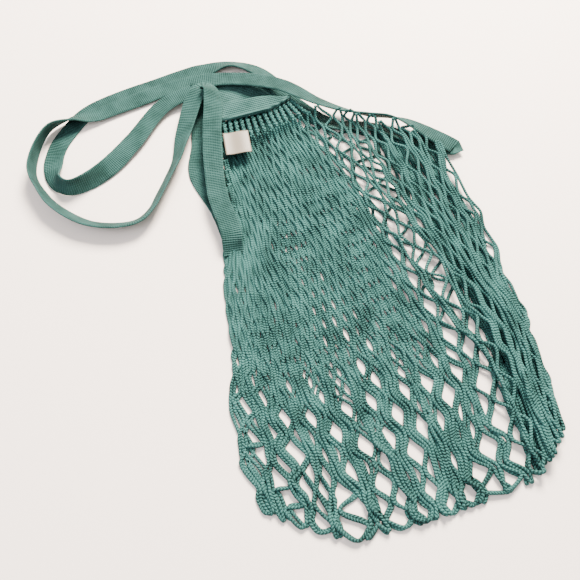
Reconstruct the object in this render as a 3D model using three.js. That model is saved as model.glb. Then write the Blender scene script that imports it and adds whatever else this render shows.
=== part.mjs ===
// A knitted string shopping bag, lying on a table with its two long handles beside it.
// Millimetres, +X across the bag, +Y from the net towards the mouth, +Z up. The origin is on the table,
// under the middle of the front mouth band, on the flat underside of the back layer of the net.
import * as THREE from "three";

// Driving sizes
const netWidth = 300; // widest stretch of the spread net
const netLength = 450; // mouth seam to hem, down the middle
const netWall = 3; // one layer of knotless mesh, about the thickness of its cord
const room = 7; // free height between the two layers in the gathered middle
const gather = 1; // how far the gathers stand up or dip
const strandWidth = 5; // cord between two gaps
const diamondsAcross = 12; // columns of diamonds in one layer
const halfRows = 16; // half diamonds from the mouth to the hem
const armholeRows = 6; // half rows that the left armhole takes from the side
const tapeWidth = 20; // knitted tape of the handles and armholes
const tapeThick = 2;
const bandThick = 2; // knitted mouth bands
const backBandHeight = 25;
const labelWidth = 27;
const labelHeight = 31;
const labelThick = 0.8;
const labelTurn = -9; // degrees, in line with the armhole tape
const clearance = 0.3; // between pieces that touch

const frontTop = 2 * netWall + room + gather + clearance;

const cotton = new THREE.MeshStandardMaterial({ name: "net_cotton", color: 0x4f8a80, roughness: 0.9, metalness: 0 });
const tapeCotton = new THREE.MeshStandardMaterial({ name: "tape_cotton", color: 0x5b968c, roughness: 0.9, metalness: 0 });
const bandCotton = new THREE.MeshStandardMaterial({ name: "band_cotton", color: 0x578f85, roughness: 0.9, metalness: 0 });
const labelSatin = new THREE.MeshStandardMaterial({ name: "label_satin", color: 0xd8cbb9, roughness: 0.6, metalness: 0 });

// Edges of the net, in plan. across is a share of netWidth, along of netLength.
// The mouth runs from the left armhole tape to the right one, and at is the share of the diamonds passed.
const frontMouth = [
  { at: 0.0, across: -0.175, along: 0.002 },
  { at: 0.15, across: -0.09, along: -0.004 },
  { at: 0.35, across: 0.0, along: -0.004 },
  { at: 0.5, across: 0.115, along: 0.016 },
  { at: 0.6, across: 0.17, along: -0.02 },
  { at: 0.7, across: 0.245, along: -0.075 },
  { at: 0.85, across: 0.37, along: -0.13 },
  { at: 1.0, across: 0.56, along: -0.271 },
];
const backMouth = [
  { at: 0.0, across: -0.153, along: 0.058 },
  { at: 0.35, across: 0.027, along: 0.058 },
  { at: 0.5, across: 0.095, along: 0.005 },
  { at: 0.65, across: 0.19, along: -0.104 },
  { at: 0.75, across: 0.265, along: -0.126 },
  { at: 0.85, across: 0.36, along: -0.15 },
  { at: 0.93, across: 0.45, along: -0.22 },
  { at: 1.0, across: 0.56, along: -0.271 },
];
// The left edge follows the armhole tape down to the armhole's end, and then it is the bag's own side.
const leftEdge = [
  { down: 0.0, front: -0.175, frontAlong: 0.002, back: -0.153, backAlong: 0.058 },
  { down: 0.125, front: -0.207, frontAlong: -0.133, back: -0.225, backAlong: -0.085 },
  { down: 0.25, front: -0.228, frontAlong: -0.26, back: -0.212, backAlong: -0.255 },
  { down: 0.375, front: -0.208, frontAlong: -0.389, back: -0.208, backAlong: -0.389 },
  { down: 0.5, front: -0.323, frontAlong: -0.438, back: -0.323, backAlong: -0.438 },
  { down: 0.625, front: -0.383, frontAlong: -0.529, back: -0.383, backAlong: -0.529 },
  { down: 0.75, front: -0.413, frontAlong: -0.638, back: -0.413, backAlong: -0.638 },
  { down: 0.875, front: -0.437, frontAlong: -0.744, back: -0.437, backAlong: -0.744 },
  { down: 1.0, front: -0.427, frontAlong: -0.84, back: -0.427, backAlong: -0.84 },
];
const rightEdge = [
  { down: 0.0, across: 0.56, along: -0.271 },
  { down: 0.25, across: 0.565, along: -0.4 },
  { down: 0.5, across: 0.54, along: -0.567 },
  { down: 0.75, across: 0.507, along: -0.744 },
  { down: 1.0, across: 0.437, along: -0.896 },
];
const hemEdge = [
  { at: 0.0, across: -0.427, along: -0.84 },
  { at: 0.1, across: -0.36, along: -0.916 },
  { at: 0.2, across: -0.267, along: -0.962 },
  { at: 0.35, across: -0.133, along: -1.004 },
  { at: 0.5, across: 0.0, along: -1.011 },
  { at: 0.65, across: 0.15, along: -1.013 },
  { at: 0.8, across: 0.283, along: -1.004 },
  { at: 0.92, across: 0.373, along: -0.96 },
  { at: 1.0, across: 0.437, along: -0.896 },
];
// How full the room between the layers is, at the left edge, in the middle and at the right edge.
const fullness = [
  { down: 0.0, left: 1.0, middle: 1.0, right: 0.45 },
  { down: 0.25, left: 0.3, middle: 1.0, right: 0.3 },
  { down: 0.6, left: 0.2, middle: 1.0, right: 0.2 },
  { down: 1.0, left: 0.15, middle: 0.4, right: 0.15 },
];
// The share of the way down from which the diamonds stand open. Above it the net is gathered shut.
const opens = [
  { at: 0.0, front: 0.68, back: 0.85 },
  { at: 0.45, front: 0.8, back: 0.9 },
  { at: 0.65, front: 0.7, back: 0.85 },
  { at: 0.78, front: 0.05, back: 0.5 },
  { at: 1.0, front: 0.05, back: 0.8 },
];

// The tape is one ring: each handle runs on as the edge of an armhole. It is cut at the ends of the two armholes.
// layers counts tapes below, rise is a share of the height over the front layer, and lean tips the tape, in degrees.
const rightArmholeEnd = { across: 0.52, along: -0.207, layers: 0, rise: 0, lean: 0 };
const leftArmholeEnd = { across: -0.258, along: -0.325, layers: 0, rise: 0, lean: 0 };
const frontStrapRoute = [
  rightArmholeEnd,
  { across: 0.597, along: -0.249, layers: 0, rise: 0.3, lean: 0 },
  { across: 0.527, along: -0.2, layers: 0, rise: 0.8, lean: 0 },
  { across: 0.343, along: -0.1, layers: 0, rise: 1.02, lean: 0 },
  { across: 0.193, along: -0.022, layers: 0, rise: 1.02, lean: 0 },
  { across: 0.1, along: 0.065, layers: 0, rise: 0.95, lean: 0 },
  { across: -0.06, along: 0.14, layers: 1, rise: 0.15, lean: 0 },
  { across: -0.243, along: 0.164, layers: 1, rise: 0.05, lean: 0 },
  { across: -0.483, along: 0.142, layers: 1, rise: 0.03, lean: 0 },
  { across: -0.587, along: 0.131, layers: 1, rise: 0, lean: 8 },
  { across: -0.667, along: 0.127, layers: 1, rise: 0, lean: 35 },
  { across: -0.747, along: 0.107, layers: 1, rise: 0, lean: 65 },
  { across: -0.837, along: 0.0, layers: 0, rise: 0, lean: 82 },
  { across: -0.78, along: -0.133, layers: 0, rise: 0, lean: 90 },
  { across: -0.593, along: -0.22, layers: 0, rise: 0, lean: 92 },
  { across: -0.47, along: -0.187, layers: 0, rise: 0, lean: 50 },
  { across: -0.38, along: -0.116, layers: 0, rise: 0, lean: 0 },
  { across: -0.3, along: -0.011, layers: 0, rise: 0.5, lean: 0 },
  { across: -0.207, along: 0.084, layers: 0, rise: 1.1, lean: -20 },
  { across: -0.163, along: 0.1, layers: 0, rise: 1.0, lean: -75 },
  { across: -0.147, along: 0.078, layers: 0, rise: 1.0, lean: -95 },
  { across: -0.163, along: 0.04, layers: 1, rise: 1.0, lean: -50 },
  { across: -0.203, along: -0.044, layers: 1, rise: 1.0, lean: 0 },
  { across: -0.257, along: -0.211, layers: 0, rise: 0.95, lean: 0 },
  { across: -0.258, along: -0.31, layers: 0, rise: 0.7, lean: 0 },
  { across: -0.258, along: -0.368, layers: 0, rise: 0.28, lean: 0 },
  leftArmholeEnd,
];
const backStrapToFold = [
  leftArmholeEnd,
  { across: -0.26, along: -0.25, layers: 0, rise: 0, lean: 0 },
  { across: -0.29, along: -0.12, layers: 0, rise: 0, lean: 0 },
  { across: -0.25, along: -0.03, layers: 0, rise: 0.05, lean: 0 },
  { across: -0.187, along: 0.12, layers: 1, rise: 0.25, lean: 0 },
];
const backStrapFromFold = [
  { across: -0.323, along: 0.107, layers: 2, rise: 0.1, lean: 0 },
  { across: -0.467, along: 0.018, layers: 0, rise: 0.3, lean: -15 },
  { across: -0.63, along: -0.069, layers: 0, rise: 0, lean: -50 },
  { across: -0.74, along: -0.069, layers: 0, rise: 0, lean: -55 },
  { across: -0.76, along: 0.013, layers: 0, rise: 0, lean: -15 },
  { across: -0.7, along: 0.09, layers: 0, rise: 0, lean: 0 },
  { across: -0.593, along: 0.156, layers: 0, rise: 0, lean: 0 },
  { across: -0.313, along: 0.193, layers: 0, rise: 0, lean: 0 },
  { across: -0.13, along: 0.204, layers: 0, rise: 0, lean: 0 },
  { across: -0.033, along: 0.193, layers: 0, rise: 0, lean: 30 },
  { across: 0.045, along: 0.158, layers: 0, rise: 0, lean: 20 },
  { across: 0.093, along: 0.1, layers: 0, rise: 0, lean: 15 },
  { across: 0.117, along: 0.044, layers: 0, rise: 0, lean: 0 },
  { across: 0.233, along: -0.084, layers: 0, rise: 0, lean: 0 },
  { across: 0.34, along: -0.107, layers: 0, rise: 0, lean: 0 },
  { across: 0.467, along: -0.178, layers: 0, rise: 0, lean: 0 },
  rightArmholeEnd,
];
const foldHeading = 213; // degrees in plan, the way the tape leaves its fold
const foldRadius = 1.4 * tapeThick;

// Front mouth band, from the left armhole tape to its point under the right one: low is the seam, high the mouth.
const frontBandRows = [
  { across: -0.165, low: -0.006, high: 0.05 },
  { across: -0.09, low: -0.011, high: 0.043 },
  { across: -0.005, low: -0.012, high: 0.041 },
  { across: 0.045, low: -0.005, high: 0.033 },
  { across: 0.08, low: 0.001, high: 0.02 },
];
const backBandRows = [
  { across: -0.153, along: 0.06 },
  { across: -0.06, along: 0.06 },
  { across: 0.02, along: 0.06 },
];
// The label lies on the net's highest place under it, given by its shares of the way across and down.
const labelPlace = { across: -0.13, along: -0.085, highest: [0.2, 0.05] };

const mix = (a, b, share) => a + (b - a) * share;

// A table's column at a place between two of its rows, in straight steps.
function readTable(rows, key, place, column) {
  const last = rows.findIndex((row) => row[key] >= place);
  if (last <= 0) return rows[last === 0 ? 0 : rows.length - 1][column];
  const [low, high] = [rows[last - 1], rows[last]];
  return mix(low[column], high[column], (place - low[key]) / (high[key] - low[key]));
}

// One closed body from its corner points and its flat faces, each given by its corners' numbers.
function closedBody(points, faces) {
  const geometry = new THREE.BufferGeometry();
  geometry.setAttribute("position", new THREE.Float32BufferAttribute(points.flatMap((p) => [p.x, p.y, p.z]), 3));
  geometry.setIndex(faces.flatMap((face) => {
    const triangles = [];
    for (let k = 1; k < face.length - 1; k += 1) triangles.push(face[0], face[k], face[k + 1]);
    return triangles;
  }));
  geometry.computeVertexNormals();
  return geometry;
}

// The skin over a row of four-cornered sections, with both ends closed.
function skinOfSections(count) {
  const end = 4 * (count - 1);
  const faces = [[3, 2, 1, 0], [end, end + 1, end + 2, end + 3]];
  for (let k = 0; k < end; k += 4) {
    for (let c = 0; c < 4; c += 1) {
      const next = (c + 1) % 4;
      faces.push([k + c, k + next, k + 4 + next, k + 4 + c]);
    }
  }
  return faces;
}

function namedMesh(name, geometry, material) {
  const mesh = new THREE.Mesh(geometry, material);
  mesh.name = name;
  return mesh;
}

// The net: two layers of diamonds that share the knots on the bag's sides and hem and part at the mouth.

function edgePoint(rows, key, place, across = "across", along = "along") {
  return [
    netWidth * readTable(rows, key, place, across),
    netLength * readTable(rows, key, place, along),
  ];
}

// A place on one layer, blended from its four edges: u runs across and v down, both from 0 to 1.
function layerPlace(layer, u, v) {
  const mouth = layer === "front" ? frontMouth : backMouth;
  const left = (place) => edgePoint(leftEdge, "down", place, layer, `${layer}Along`);
  const top = edgePoint(mouth, "at", u);
  const bottom = edgePoint(hemEdge, "at", u);
  const [west, east] = [left(v), edgePoint(rightEdge, "down", v)];
  const corners = [left(0), edgePoint(rightEdge, "down", 0), left(1), edgePoint(rightEdge, "down", 1)];
  return [0, 1].map((k) => (
    mix(top[k], bottom[k], v) + mix(west[k], east[k], u)
    - mix(mix(corners[0][k], corners[1][k], u), mix(corners[2][k], corners[3][k], u), v)
  ));
}

function frontHeight(u, v) {
  const swell = Math.sqrt(Math.sin(Math.PI * u));
  const side = mix(readTable(fullness, "down", v, "left"), readTable(fullness, "down", v, "right"), u);
  return 1.5 * netWall + room * mix(side, readTable(fullness, "down", v, "middle"), swell);
}

function knotOf(layer, row, column) {
  const u = (column + (row % 2) / 2) / diamondsAcross;
  const v = row / halfRows;
  const onSide = row % 2 === 0 && (column === 0 || column === diamondsAcross);
  const partsHere = column === 0 && row < armholeRows;
  const shared = row === halfRows || (onSide && !partsHere);
  const [x, y] = layerPlace(layer, u, v);
  const back = netWall / 2;
  const front = frontHeight(u, v);
  const ridge = gather * (row % 2 === 0 ? 1 : -1) * Math.sqrt(Math.sin(Math.PI * u));
  let z = layer === "front" ? front + ridge : back;
  const outward = new THREE.Vector3(0, 0, layer === "front" ? 1 : -1);
  if (shared) {
    z = mix(back, front, 0.5);
    outward.set(0, 0, 0);
    if (row === halfRows) outward.y = -1;
    if (onSide) outward.x = column === 0 ? -1 : 1;
    outward.normalize();
  }
  const middle = new THREE.Vector3(x, y, z);
  return {
    key: shared ? `shared ${row} ${column}` : `${layer} ${row} ${column}`,
    outer: middle.clone().addScaledVector(outward, netWall / 2),
    inner: middle.clone().addScaledVector(outward, -netWall / 2),
  };
}

function net() {
  const points = [];
  const faces = [];
  const numbers = new Map();
  const number = (point) => points.push(point) - 1;
  const knot = (layer, row, column) => {
    const made = knotOf(layer, row, column);
    if (!numbers.has(made.key)) numbers.set(made.key, { outer: number(made.outer), inner: number(made.inner) });
    return numbers.get(made.key);
  };
  // Corners run the way round that faces out. An open diamond leaves strands along its four sides.
  const diamond = (corners, open) => {
    for (const [skin, ring] of [["outer", corners], ["inner", [...corners].reverse()]]) {
      const outline = ring.map((corner) => corner[skin]);
      if (!open) faces.push(outline);
      else openRing(outline, skin, corners);
    }
    if (open) holeWalls();
  };
  const holes = new Map();
  const openRing = (outline, skin, corners) => {
    const middle = new THREE.Vector3();
    outline.forEach((index) => middle.addScaledVector(points[index], 1 / outline.length));
    const tall = points[corners[0][skin]].distanceTo(points[corners[2][skin]]);
    const wide = points[corners[1][skin]].distanceTo(points[corners[3][skin]]);
    const reach = (tall * wide) / (2 * Math.hypot(tall, wide));
    const share = 1 - strandWidth / 2 / reach;
    const hole = outline.map((index) => number(middle.clone().lerp(points[index], share)));
    outline.forEach((index, k) => {
      const next = (k + 1) % outline.length;
      faces.push([index, outline[next], hole[next], hole[k]]);
    });
    holes.set(skin, skin === "inner" ? [...hole].reverse() : hole);
  };
  const holeWalls = () => {
    const [outer, inner] = [holes.get("outer"), holes.get("inner")];
    outer.forEach((index, k) => {
      const next = (k + 1) % outer.length;
      faces.push([index, outer[next], inner[next], inner[k]]);
    });
  };
  const isOpen = (layer, row, u) => row / halfRows > readTable(opens, "at", u, layer);

  for (const layer of ["front", "back"]) {
    const order = (corners) => (layer === "front" ? corners : [corners[0], corners[3], corners[2], corners[1]]);
    for (let top = 0; top <= halfRows - 2; top += 1) {
      const odd = top % 2;
      for (let column = odd ? 0 : 1; column < diamondsAcross; column += 1) {
        const corners = [
          knot(layer, top, column),
          knot(layer, top + 1, odd ? column : column - 1),
          knot(layer, top + 2, column),
          knot(layer, top + 1, odd ? column + 1 : column),
        ];
        diamond(order(corners), isOpen(layer, top + 1, (column + odd / 2) / diamondsAcross));
      }
    }
    // Half diamonds close the mouth to a line, and the left edge too as far as the armhole parts it.
    const halves = [];
    for (let column = 0; column < diamondsAcross; column += 1) {
      halves.push([knot(layer, 0, column), knot(layer, 1, column), knot(layer, 0, column + 1)]);
    }
    for (let top = 0; top < armholeRows; top += 2) {
      halves.push([knot(layer, top, 0), knot(layer, top + 2, 0), knot(layer, top + 1, 0)]);
    }
    for (const half of halves) {
      const ring = layer === "front" ? half : [...half].reverse();
      faces.push(ring.map((corner) => corner.outer));
      faces.push([...ring].reverse().map((corner) => corner.inner));
    }
    // The rim joins the two skins along the mouth and the armhole.
    const rim = [];
    for (let row = armholeRows; row > 0; row -= 2) rim.push(knot(layer, row, 0));
    for (let column = 0; column <= diamondsAcross; column += 1) rim.push(knot(layer, 0, column));
    for (let k = 0; k < rim.length - 1; k += 1) {
      const face = [rim[k].outer, rim[k + 1].outer, rim[k + 1].inner, rim[k].inner];
      faces.push(layer === "front" ? face : face.reverse());
    }
  }
  // Diamonds that fold round the two sides and the hem.
  for (let top = 0; top <= halfRows - 2; top += 2) {
    const wraps = [[diamondsAcross, diamondsAcross - 1]];
    if (top >= armholeRows) wraps.push([0, 0]);
    for (const [edge, inside] of wraps) {
      const corners = [
        knot("front", top, edge),
        knot("front", top + 1, inside),
        knot("front", top + 2, edge),
        knot("back", top + 1, inside),
      ];
      diamond(edge === 0 ? [corners[0], corners[3], corners[2], corners[1]] : corners, false);
    }
  }
  for (let column = 0; column < diamondsAcross; column += 1) {
    diamond([
      knot("front", halfRows - 1, column),
      knot("front", halfRows, column),
      knot("back", halfRows - 1, column),
      knot("front", halfRows, column + 1),
    ], true);
  }
  return closedBody(points, faces);
}

// Straps: stations along the tape's middle, each with its centre and the way its width points.

function strapPoint(row) {
  const tip = THREE.MathUtils.degToRad(row.lean);
  const base = row.layers * (tapeThick + clearance) + row.rise * frontTop;
  const half = (tapeThick / 2) * Math.abs(Math.cos(tip)) + (tapeWidth / 2) * Math.abs(Math.sin(tip));
  return new THREE.Vector3(netWidth * row.across, netLength * row.along, base + half);
}

const up = new THREE.Vector3(0, 0, 1);

// Walks a smooth line through the rows. level is the side direction that the lean turns from.
function walk(points, leans, level) {
  const curve = new THREE.CatmullRomCurve3(points, false, "centripetal");
  const stations = [];
  for (let k = 0; k < points.length - 1; k += 1) {
    const steps = Math.max(3, Math.round(points[k].distanceTo(points[k + 1]) / tapeWidth * 2));
    for (let s = k === 0 ? 0 : 1; s <= steps; s += 1) {
      const t = (k + s / steps) / (points.length - 1);
      const along = curve.getTangent(t);
      const side = new THREE.Vector3().crossVectors(along, up);
      if (side.length() < 0.4) side.copy(level);
      side.addScaledVector(along, -side.dot(along)).normalize();
      if (side.dot(level) < 0) side.negate();
      level.copy(side);
      const share = s / steps;
      const lean = THREE.MathUtils.degToRad(mix(leans[k], leans[k + 1], share * share * (3 - 2 * share)));
      const stands = new THREE.Vector3().crossVectors(side, along);
      if (stands.z < 0) stands.negate();
      const width = side.clone().multiplyScalar(Math.cos(lean)).addScaledVector(stands, Math.sin(lean));
      const face = new THREE.Vector3().crossVectors(along, width);
      const lowest = (tapeWidth / 2) * Math.abs(width.z) + (tapeThick / 2) * Math.abs(face.z);
      const centre = curve.getPoint(t);
      centre.z = Math.max(centre.z, lowest);
      stations.push({ centre, along, width });
    }
  }
  return stations;
}

// The tape turned flat over itself: it rolls half a turn about a level line, so its heading is mirrored in that line.
function foldOver(start, headingDegrees) {
  const heading = THREE.MathUtils.degToRad(headingDegrees);
  const into = start.along.clone().setZ(0).normalize();
  const axis = into.clone().add(new THREE.Vector3(Math.cos(heading), Math.sin(heading), 0)).normalize();
  const kept = into.dot(axis);
  const across = into.clone().addScaledVector(axis, -kept);
  const turned = across.length();
  across.normalize();
  const [widthKept, widthTurned] = [start.width.dot(axis), start.width.dot(across)];
  const stations = [];
  for (let s = 1; s <= 6; s += 1) {
    const angle = (Math.PI * s) / 6;
    const ahead = across.clone().multiplyScalar(Math.cos(angle)).addScaledVector(up, Math.sin(angle));
    stations.push({
      centre: start.centre.clone()
        .addScaledVector(axis, foldRadius * angle * kept / turned)
        .addScaledVector(across, foldRadius * Math.sin(angle))
        .addScaledVector(up, foldRadius * (1 - Math.cos(angle))),
      along: axis.clone().multiplyScalar(kept).addScaledVector(ahead, turned),
      width: axis.clone().multiplyScalar(widthKept).addScaledVector(ahead, widthTurned).normalize(),
    });
  }
  return stations;
}

// A flat tape swept along its stations, drawn in by the clearance at both ends.
function sweptTape(stations) {
  const first = stations[0];
  const last = stations[stations.length - 1];
  first.centre.addScaledVector(first.along, clearance);
  last.centre.addScaledVector(last.along, -clearance);
  const points = [];
  for (const { centre, along, width } of stations) {
    const face = new THREE.Vector3().crossVectors(along, width).normalize();
    for (const [w, f] of [[-1, -1], [1, -1], [1, 1], [-1, 1]]) {
      points.push(centre.clone().addScaledVector(width, w * tapeWidth / 2).addScaledVector(face, f * tapeThick / 2));
    }
  }
  return closedBody(points, skinOfSections(stations.length));
}

function frontStrap() {
  const level = new THREE.Vector3(1, 1, 0).normalize();
  return sweptTape(walk(frontStrapRoute.map(strapPoint), frontStrapRoute.map((row) => row.lean), level));
}

function backStrap() {
  const level = new THREE.Vector3(1, 0, 0);
  const toFold = walk(backStrapToFold.map(strapPoint), backStrapToFold.map((row) => row.lean), level);
  const fold = foldOver(toFold[toFold.length - 1], foldHeading);
  const leaving = fold[fold.length - 1];
  const fromFold = walk(
    [leaving.centre.clone(), ...backStrapFromFold.map(strapPoint)],
    [0, ...backStrapFromFold.map((row) => -row.lean)],
    leaving.width.clone(),
  );
  return sweptTape([...toFold, ...fold, ...fromFold.slice(1)]);
}

// Bands: flat knitted strips whose seams lap the net or butt against it.

function plate(rows, underside, thick) {
  const points = rows.flatMap(([x, low, high]) => [
    new THREE.Vector3(x, low, underside),
    new THREE.Vector3(x, high, underside),
    new THREE.Vector3(x, high, underside + thick),
    new THREE.Vector3(x, low, underside + thick),
  ]);
  return closedBody(points, skinOfSections(rows.length));
}

function frontBand() {
  const rows = frontBandRows.map((row) => [netWidth * row.across, netLength * row.low, netLength * row.high]);
  return plate(rows, frontTop, bandThick);
}

function backBand() {
  const rows = backBandRows.map((row) => {
    const low = netLength * row.along;
    return [netWidth * row.across, low, low + backBandHeight];
  });
  return plate(rows, 0, bandThick);
}

function label() {
  return new THREE.BoxGeometry(labelWidth, labelHeight, labelThick);
}

const bag = new THREE.Group();
const labelMesh = namedMesh("label", label(), labelSatin);
const labelSeat = frontHeight(...labelPlace.highest) + gather + netWall / 2 + clearance;
labelMesh.position.set(netWidth * labelPlace.across, netLength * labelPlace.along, labelSeat + labelThick / 2);
labelMesh.rotation.z = THREE.MathUtils.degToRad(labelTurn);
bag.add(
  namedMesh("net", net(), cotton),
  namedMesh("front_band", frontBand(), bandCotton),
  namedMesh("back_band", backBand(), bandCotton),
  namedMesh("front_strap", frontStrap(), tapeCotton),
  namedMesh("back_strap", backStrap(), tapeCotton),
  labelMesh,
);

export default bag;
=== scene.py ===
# %% [markdown]
# A string shopping bag lies on a pale table: a net of knotless cotton mesh, two knitted bands at its mouth,
# and one long knitted tape that edges both armholes and makes both handles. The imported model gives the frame.
# Every soft piece is rebuilt here as what it is on the real bag, cord by cord and tape by tape.

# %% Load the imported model
import math

import bpy
import numpy as np
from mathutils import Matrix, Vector


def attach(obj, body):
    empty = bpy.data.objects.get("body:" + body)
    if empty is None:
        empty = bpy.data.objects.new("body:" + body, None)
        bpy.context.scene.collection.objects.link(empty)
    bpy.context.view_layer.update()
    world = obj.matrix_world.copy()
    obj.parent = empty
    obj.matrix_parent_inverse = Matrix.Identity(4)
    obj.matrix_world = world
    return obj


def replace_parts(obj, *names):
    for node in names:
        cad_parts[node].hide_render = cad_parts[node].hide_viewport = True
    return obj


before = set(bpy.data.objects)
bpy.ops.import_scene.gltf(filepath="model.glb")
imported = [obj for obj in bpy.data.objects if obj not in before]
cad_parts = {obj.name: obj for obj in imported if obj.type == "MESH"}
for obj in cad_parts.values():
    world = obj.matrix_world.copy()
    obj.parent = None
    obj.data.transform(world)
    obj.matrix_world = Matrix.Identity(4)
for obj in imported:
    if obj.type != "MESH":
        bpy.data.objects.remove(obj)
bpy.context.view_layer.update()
bpy.ops.object.select_all(action="DESELECT")
MM = 0.001
print("packed nodes:", sorted(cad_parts))

# %% [markdown]
# The photo looks down at the bag at 60 degrees, from 540 mm above the table, with the bag turned a little in the
# frame. A camera is an object like any other, so its height, heading and lens are set straight from those sizes.

# %% Camera
camera_height = 540 * MM
camera_place = (-143.7 * MM, -512.2 * MM, camera_height)
camera_pitch = 60  # degrees down from level
camera_heading = -19  # degrees from +Y, counted anticlockwise from above
camera_sensor, camera_lens = 36, 41.2  # millimetres
bpy.ops.object.camera_add(
    location=camera_place,
    rotation=(math.radians(90 - camera_pitch), 0, math.radians(camera_heading)),
)
camera = bpy.context.object
camera.name = "view_camera"
camera.data.sensor_width = camera_sensor
camera.data.lens = camera_lens
bpy.context.scene.camera = camera
print("camera looks along", [round(x, 3) for x in camera.matrix_basis.to_3x3() @ Vector((0, 0, -1))])

# %% [markdown]
# A finish is a few linked nodes. One helper adds a node with its settings and its links, and one turns a colour
# as a painter names it, in sRGB hex, into the linear values that the renderer counts in.

# %% Helpers for materials
def linear(hex_colour):
    parts = [int(hex_colour[k:k + 2], 16) / 255 for k in (1, 3, 5)]
    return [c / 12.92 if c <= 0.04045 else ((c + 0.055) / 1.055) ** 2.4 for c in parts] + [1]


def add_node(material, kind, settings=None, **inputs):
    """Adds a node. settings are its own properties. inputs are its sockets, by name or as _0, _1 and so on by
    number, and each gets a value, or a socket to link."""
    tree = material.node_tree
    node = tree.nodes.new(kind)
    for key, value in (settings or {}).items():
        setattr(node, key, value)
    for key, value in inputs.items():
        numbered = key[0] == "_" and key[1:].isdigit()
        socket = node.inputs[int(key[1:]) if numbered else key.replace("_", " ")]
        if isinstance(value, bpy.types.NodeSocket):
            tree.links.new(value, socket)
        else:
            socket.default_value = value
    return node


def new_material(name):
    material = bpy.data.materials.new(name)
    material.use_nodes = True
    return material, material.node_tree.nodes["Principled BSDF"]


def set_stops(node, stops):
    """Gives a colour ramp its stops. Each is a place from 0 to 1, and a colour."""
    elements = node.color_ramp.elements
    while len(elements) < len(stops):
        elements.new(0.5)
    for element, (place, colour) in zip(elements, stops):
        element.position = place
        element.color = linear(colour)


print("a grey of #808080 is", round(linear("#808080")[0], 3), "of white, counted in linear light")

# %% [markdown]
# The bag lies on a plain table top. Only the table's upper face shows, so one flat sheet is enough for it, far
# larger than the picture. It is stage, not a piece of the bag.

# %% Table top
floor_size = 6  # metres
# A matt, pale and warm white: it shows soft shadows, and no glints.
floor_material, floor_shader = new_material("matt_white_table")
floor_shader.inputs["Base Color"].default_value = linear("#F8ECE4")
floor_shader.inputs["Roughness"].default_value = 0.7
bpy.ops.mesh.primitive_plane_add(size=floor_size)
floor = bpy.context.object
floor.name = "table_top"
floor.data.materials.append(floor_material)
print("table top", floor_size, "m wide, of", floor_material.name)

# %% [markdown]
# The light is what a window and a white room give: one soft source behind the bag on the right, a weaker and wider
# one in front on the left, and a pale sky all round. Shadows then fall softly towards the viewer.

# %% Lights
def soft_light(name, place, size, power, colour):
    bpy.ops.object.light_add(type="AREA", location=place)
    light = bpy.context.object
    light.name = name
    light.data.size = size
    light.data.energy = power
    light.data.color = linear(colour)[:3]
    light.rotation_euler = (-Vector(place)).to_track_quat("-Z", "Y").to_euler()


# Places and sizes are in metres, and powers in watts.
soft_light("window_light", (0.85, 1.15, 1.5), size=0.9, power=350, colour="#FFF3E4")
soft_light("room_light", (-1.3, -0.6, 1.6), size=1.6, power=32, colour="#F6F4FF")
world = bpy.context.scene.world or bpy.data.worlds.new("pale_room")
bpy.context.scene.world = world
world.use_nodes = True
world.node_tree.nodes["Background"].inputs["Color"].default_value = linear("#F4F1EE")
world.node_tree.nodes["Background"].inputs["Strength"].default_value = 1.0
bpy.ops.object.select_all(action="DESELECT")

# %% [markdown]
# The tape and the bands are knitted of fine cotton. Cotton is matt: its fibres scatter the light, so it hardly
# glints, and what the eye gets is the pattern of its stitches. Rows run across the piece, and wales run along it.
# A woven picture could be laid on the piece, but waves that are worked out from the stitches' size stay sharp.
# Each point of a knitted piece carries how far it is across and along, so the stitches follow every bend.

# %% Knitted cotton finish
fluff_per_metre = 900  # loose fibres, about 1.1 mm apart
patch_per_metre = 60  # uneven dye and wear, about 17 mm across
wale_share = 0.35  # how high the wales stand, where the rows stand 1
# Painted shade: the hollows between stitches are painted darker, as the shade that falls in them.
painted_stitch_shade = 0.2  # how much darker a hollow between stitches is
fluff_share = 1.6  # how high the fluff stands, where the rows stand 1
# Painted highlight: the rolled edges are painted lighter, as the light that they catch.
painted_edge_light, edge_sharpness = 0.25, 9.0  # how much lighter a rolled edge is, and how near the edge that starts
stitch_depth = 0.5 * MM
cotton_roughness = 0.9
cotton_glint = 0.12  # dry cotton hardly glints, where 0.5 is usual


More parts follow.
